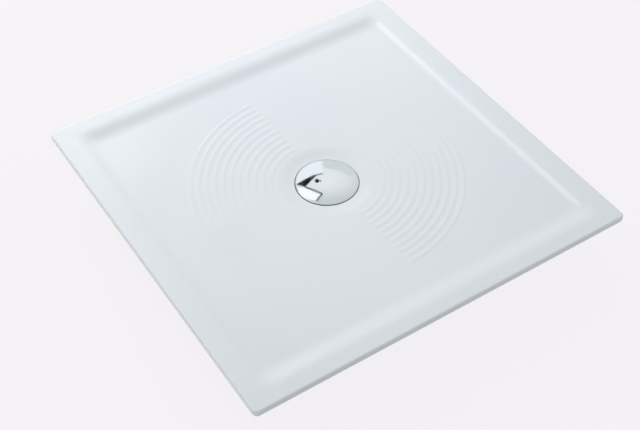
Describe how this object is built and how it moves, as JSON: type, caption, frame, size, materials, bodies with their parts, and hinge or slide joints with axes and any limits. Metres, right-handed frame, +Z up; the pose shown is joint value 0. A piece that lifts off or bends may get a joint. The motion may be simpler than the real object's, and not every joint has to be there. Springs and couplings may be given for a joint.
{
  "type": "shower tray",
  "caption": "Low square shower tray: formed acrylic shell on a backed board with levelling feet, and a central waste with a domed cover, strainer, dip tube and trap.",
  "frame": {"origin": "on the floor, under the middle of the tray and of the waste", "axes": "+Z up, +Y towards the rear edge and the trap's outlet, +X to the right; the tray's edges run along X and Y"},
  "size_m": [0.8, 0.8, 0.12],
  "materials": {
    "acrylic": "glossy white sanitary acrylic with a faint cool tint",
    "laminate": "sprayed glass fibre and resin, rough, off-white",
    "board": "resin-sealed particle board",
    "socket_plastic": "black glass-filled nylon, fine moulded grain",
    "pad_plastic": "black moulded plastic",
    "zinc_steel": "bright zinc plate",
    "seal_rubber": "black moulded rubber",
    "flange_steel": "drawn stainless steel",
    "trap_plastic": "white moulded polypropylene",
    "nut_plastic": "white moulded polypropylene",
    "insert_plastic": "pale grey moulded polypropylene",
    "cover_chrome": "polished chrome plate"
  },
  "bodies": {
    "root": {"tray_shell": "acrylic", "backing": "laminate", "base_board": "board", "foot_socket_front_left": "socket_plastic", "foot_socket_front_right": "socket_plastic", "foot_socket_rear_right": "socket_plastic", "foot_socket_rear_left": "socket_plastic", "foot_lock_nuts": "zinc_steel", "socket_screws": "zinc_steel", "flange_seal": "seal_rubber", "body_seal": "seal_rubber", "outlet_seal": "seal_rubber", "waste_flange": "flange_steel", "trap_body": "trap_plastic", "outlet_nut": "nut_plastic"},
    "pad_front_left": {"foot_pad_front_left": "pad_plastic"},
    "rod_front_left": {"foot_rod_front_left": "zinc_steel"},
    "pad_front_right": {"foot_pad_front_right": "pad_plastic"},
    "rod_front_right": {"foot_rod_front_right": "zinc_steel"},
    "pad_rear_right": {"foot_pad_rear_right": "pad_plastic"},
    "rod_rear_right": {"foot_rod_rear_right": "zinc_steel"},
    "pad_rear_left": {"foot_pad_rear_left": "pad_plastic"},
    "rod_rear_left": {"foot_rod_rear_left": "zinc_steel"},
    "waste_insert": {"dip_tube": "insert_plastic", "dip_tube_seal": "seal_rubber", "strainer_basket": "insert_plastic"},
    "cover": {"waste_cover": "cover_chrome", "cover_spider": "insert_plastic"}
  },
  "joints": [
    {"name": "foot_height_front_left", "type": "slide", "parent": "root", "child": "pad_front_left", "axis": [0, 0, 1], "range_m": [-0.016, 0.008]},
    {"name": "rod_turn_front_left", "type": "hinge", "parent": "pad_front_left", "child": "rod_front_left", "pos_m": [-0.26, -0.26, 0.04], "axis": [0, 0, 1], "range_deg": [-3292, 1646]},
    {"name": "foot_height_front_right", "type": "slide", "parent": "root", "child": "pad_front_right", "axis": [0, 0, 1], "range_m": [-0.016, 0.008]},
    {"name": "rod_turn_front_right", "type": "hinge", "parent": "pad_front_right", "child": "rod_front_right", "pos_m": [0.26, -0.26, 0.04], "axis": [0, 0, 1], "range_deg": [-3292, 1646]},
    {"name": "foot_height_rear_right", "type": "slide", "parent": "root", "child": "pad_rear_right", "axis": [0, 0, 1], "range_m": [-0.016, 0.008]},
    {"name": "rod_turn_rear_right", "type": "hinge", "parent": "pad_rear_right", "child": "rod_rear_right", "pos_m": [0.26, 0.26, 0.04], "axis": [0, 0, 1], "range_deg": [-3292, 1646]},
    {"name": "foot_height_rear_left", "type": "slide", "parent": "root", "child": "pad_rear_left", "axis": [0, 0, 1], "range_m": [-0.016, 0.008]},
    {"name": "rod_turn_rear_left", "type": "hinge", "parent": "pad_rear_left", "child": "rod_rear_left", "pos_m": [-0.26, 0.26, 0.04], "axis": [0, 0, 1], "range_deg": [-3292, 1646]},
    {"name": "insert_lift", "type": "slide", "parent": "root", "child": "waste_insert", "axis": [0, 0, 1], "range_m": [0, 0.1]},
    {"name": "cover_lift", "type": "slide", "parent": "waste_insert", "child": "cover", "axis": [0, 0, 1], "range_m": [0, 0.06]}
  ],
  "couplings": [
    {"joint": "rod_turn_front_left", "follows": "foot_height_front_left", "rad_per_m": 3590.4},
    {"joint": "rod_turn_front_right", "follows": "foot_height_front_right", "rad_per_m": 3590.4},
    {"joint": "rod_turn_rear_right", "follows": "foot_height_rear_right", "rad_per_m": 3590.4},
    {"joint": "rod_turn_rear_left", "follows": "foot_height_rear_left", "rad_per_m": 3590.4}
  ]
}
